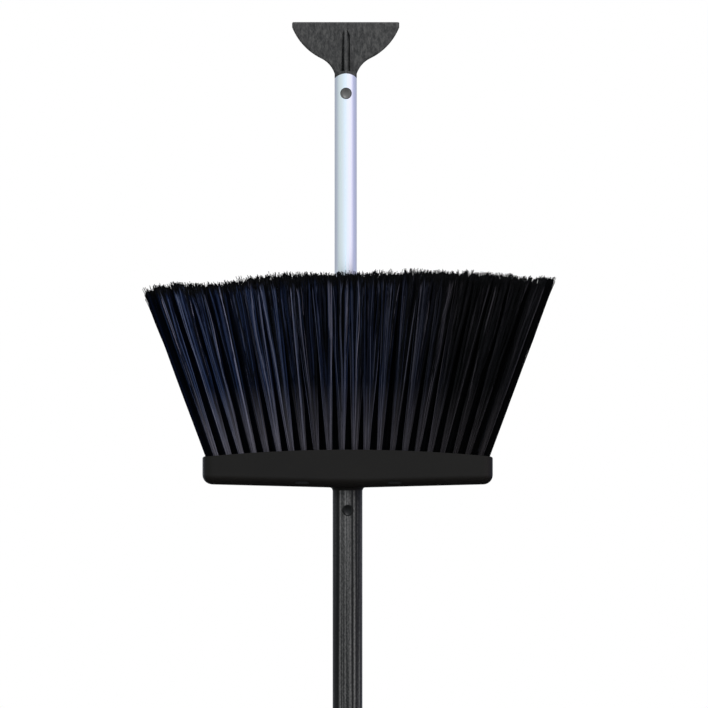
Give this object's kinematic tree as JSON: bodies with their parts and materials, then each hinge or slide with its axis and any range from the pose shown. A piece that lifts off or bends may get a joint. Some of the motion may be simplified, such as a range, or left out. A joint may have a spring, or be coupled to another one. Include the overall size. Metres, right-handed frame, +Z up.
{
  "type": "upright dust pan and broom set",
  "caption": "Upright dust pan with a folding tube handle and fan-shaped grip, and an angled-bristle broom stored head up in a clip on that handle.",
  "frame": {"origin": "on the floor, where the pan handle's axis meets the pan's flat underside", "axes": "+Z up along both handles, +Y towards the pan's open front, -Y towards the clipped broom, +X to the right seen from the broom's side"},
  "size_m": [0.3538, 0.3051, 1.04],
  "materials": {
    "pan_plastic": "moulded polypropylene, fine satin grain, black",
    "lip_rubber": "matt soft rubber strip, black",
    "comb_plastic": "moulded polypropylene, black",
    "bracket_plastic": "moulded nylon, satin, black",
    "screw_steel": "bright zinc-plated steel",
    "pin_steel": "bright zinc-plated steel",
    "socket_plastic": "moulded nylon, satin, black",
    "button_plastic": "moulded acetal, dark grey",
    "spring_steel": "bent spring-steel strip",
    "tube_aluminium": "satin-anodised drawn aluminium tube",
    "grip_plastic": "moulded polypropylene, dark grey, mottled grain",
    "clip_plastic": "moulded nylon, satin, black",
    "cap_plastic": "moulded polypropylene, satin, black",
    "tube_painted_steel": "thin steel tube, satin black paint",
    "head_plastic": "moulded polypropylene, satin, black",
    "block_plastic": "moulded polypropylene, drilled, black",
    "staple_wire": "flat steel anchor wire",
    "bristle_fibre": "crimped flagged plastic bristle, near black with a blue cast"
  },
  "bodies": {
    "pan": {"pan_body": "pan_plastic", "pan_lip": "lip_rubber", "bristle_comb": "comb_plastic", "hinge_bracket": "bracket_plastic", "bracket_screws": "screw_steel", "hinge_pin": "pin_steel", "pin_cap": "pin_steel"},
    "handle": {"handle_socket": "socket_plastic", "socket_spring": "spring_steel", "pan_tube": "tube_aluminium", "fan_grip": "grip_plastic", "grip_spring": "spring_steel", "broom_clip": "clip_plastic", "clip_screw": "screw_steel", "clip_nut": "screw_steel"},
    "socket_snap": {"socket_button": "button_plastic"},
    "grip_snap": {"grip_button": "button_plastic"},
    "broom": {"end_cap": "cap_plastic", "broom_tube": "tube_painted_steel", "broom_spring": "spring_steel", "head_cover": "head_plastic", "tuft_block": "block_plastic", "tuft_staples": "staple_wire", "tuft_row_1": "bristle_fibre", "tuft_row_2": "bristle_fibre", "tuft_row_3": "bristle_fibre", "tuft_row_4": "bristle_fibre"},
    "broom_snap": {"broom_button": "button_plastic"}
  },
  "joints": [
    {"name": "handle_fold", "type": "hinge", "parent": "pan", "child": "handle", "pos_m": [0, 0, 0.116], "axis": [-1, 0, 0], "range_deg": [0, 90]},
    {"name": "broom_lift", "type": "slide", "parent": "handle", "child": "broom", "axis": [0, 0, 1], "range_m": [0, 0.42]},
    {"name": "socket_button_press", "type": "slide", "parent": "handle", "child": "socket_snap", "axis": [0, 1, 0], "range_m": [0, 0.0019], "stiffness_N_per_m": 1500, "deforming": ["socket_spring"]},
    {"name": "grip_button_press", "type": "slide", "parent": "handle", "child": "grip_snap", "axis": [0, 1, 0], "range_m": [0, 0.0019], "stiffness_N_per_m": 1500, "deforming": ["grip_spring"]},
    {"name": "broom_button_press", "type": "slide", "parent": "broom", "child": "broom_snap", "axis": [0, 1, 0], "range_m": [0, 0.0019], "stiffness_N_per_m": 1500, "deforming": ["broom_spring"]}
  ]
}
